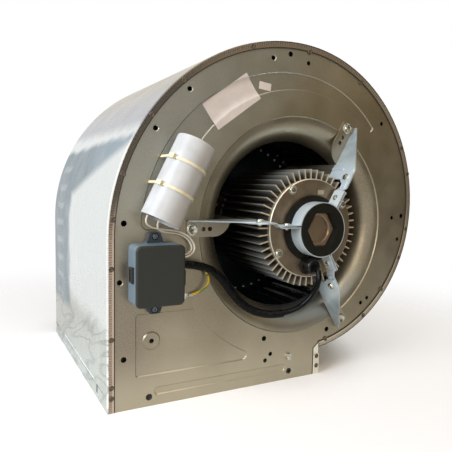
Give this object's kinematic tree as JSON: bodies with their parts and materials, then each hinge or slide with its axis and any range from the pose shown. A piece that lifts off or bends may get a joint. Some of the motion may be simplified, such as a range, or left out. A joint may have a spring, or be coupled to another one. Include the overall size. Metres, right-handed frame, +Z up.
{
  "type": "centrifugal fan",
  "caption": "Double-inlet fan: sheet-metal scroll with its outlet below, forward-curved wheel on a finned motor held by brackets in the front inlet, with a capacitor and a terminal box.",
  "frame": {"origin": "bottom centre of the fan's overall box without its cables, in the plane of the outlet rim", "axes": "+X across the scroll, away from its flat face; +Y along the fan axis, from the motor side to the back; +Z up, away from the outlet, which faces down"},
  "size_m": [0.4462, 0.3928, 0.431],
  "materials": {
    "bright_galvanised_sheet": "bright galvanised sheet, mirror-like with fine spangle",
    "dull_galvanised_sheet": "dull galvanised sheet, satin",
    "zinc_plated_pressing": "zinc plated pressed steel",
    "zinc_plated_fastener": "zinc plated steel",
    "cast_aluminium": "cast, fine grain, brownish grey",
    "finned_aluminium": "die cast, light grey",
    "black_coated_steel": "black coated, half gloss",
    "ground_steel": "ground steel",
    "core_laminations": "stacked core plates, dull",
    "varnished_copper": "varnished copper wire",
    "black_rubber": "moulded, matt",
    "white_moulded_case": "moulded, white, half gloss",
    "white_moulded_lid": "moulded, white, matt",
    "natural_nylon": "moulded, natural colour",
    "blue_grey_moulding": "moulded, blue grey, matt",
    "dark_grey_moulding": "moulded, dark grey, fine texture",
    "black_moulding": "moulded, black",
    "cream_moulding": "moulded, cream",
    "black_cable_sheath": "extruded, half gloss",
    "black_sleeving": "slipped-on sleeving, half gloss",
    "cream_wire_sleeving": "extruded, cream",
    "green_yellow_insulation": "extruded, yellow with a green stripe",
    "tinned_copper": "tinned"
  },
  "bodies": {
    "housing": {"scroll_wrap": "bright_galvanised_sheet", "cutoff_plate": "bright_galvanised_sheet", "side_plate_front": "dull_galvanised_sheet", "side_plate_back": "dull_galvanised_sheet", "motor_foot_1": "zinc_plated_pressing", "motor_foot_2": "zinc_plated_pressing", "motor_foot_3": "zinc_plated_pressing", "motor_leg_1": "zinc_plated_pressing", "motor_leg_2": "zinc_plated_pressing", "motor_leg_3": "zinc_plated_pressing", "front_band_1": "zinc_plated_pressing", "front_band_2": "zinc_plated_pressing", "front_band_3": "zinc_plated_pressing", "rear_band_1": "zinc_plated_pressing", "rear_band_2": "zinc_plated_pressing", "rear_band_3": "zinc_plated_pressing", "foot_bolts": "zinc_plated_fastener", "foot_nuts": "zinc_plated_fastener", "leg_screws": "zinc_plated_fastener", "end_shield_screws": "zinc_plated_fastener", "terminal_box_screws": "zinc_plated_fastener", "earth_screws": "zinc_plated_fastener", "end_shield_front": "cast_aluminium", "end_shield_rear": "cast_aluminium", "motor_frame": "finned_aluminium", "bearing_front_outer": "ground_steel", "bearing_rear_outer": "ground_steel", "preload_washer": "ground_steel", "stator_core": "core_laminations", "winding_front": "varnished_copper", "winding_rear": "varnished_copper", "rubber_ring_front": "black_rubber", "rubber_ring_rear": "black_rubber", "capacitor_can": "white_moulded_case", "capacitor_lid": "white_moulded_lid", "cable_tie_upper": "natural_nylon", "cable_tie_lower": "natural_nylon", "terminal_box": "blue_grey_moulding", "cable_gland": "black_moulding", "cable_gland_nut": "black_moulding", "terminal_strip": "cream_moulding", "motor_cable": "black_cable_sheath", "cable_sleeve": "black_sleeving", "capacitor_lead_outer": "cream_wire_sleeving", "capacitor_lead_inner": "cream_wire_sleeving", "earth_wire": "green_yellow_insulation", "earth_lug": "tinned_copper"},
    "rotor": {"shaft": "ground_steel", "rotor_core": "core_laminations", "bearing_front_inner": "ground_steel", "bearing_rear_inner": "ground_steel", "wheel_hub": "cast_aluminium", "hub_set_screw": "ground_steel", "hub_rivets": "zinc_plated_fastener", "wheel_disc": "black_coated_steel", "blades_front": "black_coated_steel", "blades_back": "black_coated_steel", "end_ring_front": "black_coated_steel", "end_ring_back": "black_coated_steel"},
    "box_lid": {"terminal_box_lid": "dark_grey_moulding"}
  },
  "joints": [
    {"name": "wheel_spin", "type": "hinge", "parent": "housing", "child": "rotor", "pos_m": [0.02437, 0, 0.2021], "axis": [0, -1, 0], "continuous": true},
    {"name": "box_lid_off", "type": "slide", "parent": "housing", "child": "box_lid", "axis": [0, -1, 0], "range_m": [0, 0.05]}
  ]
}
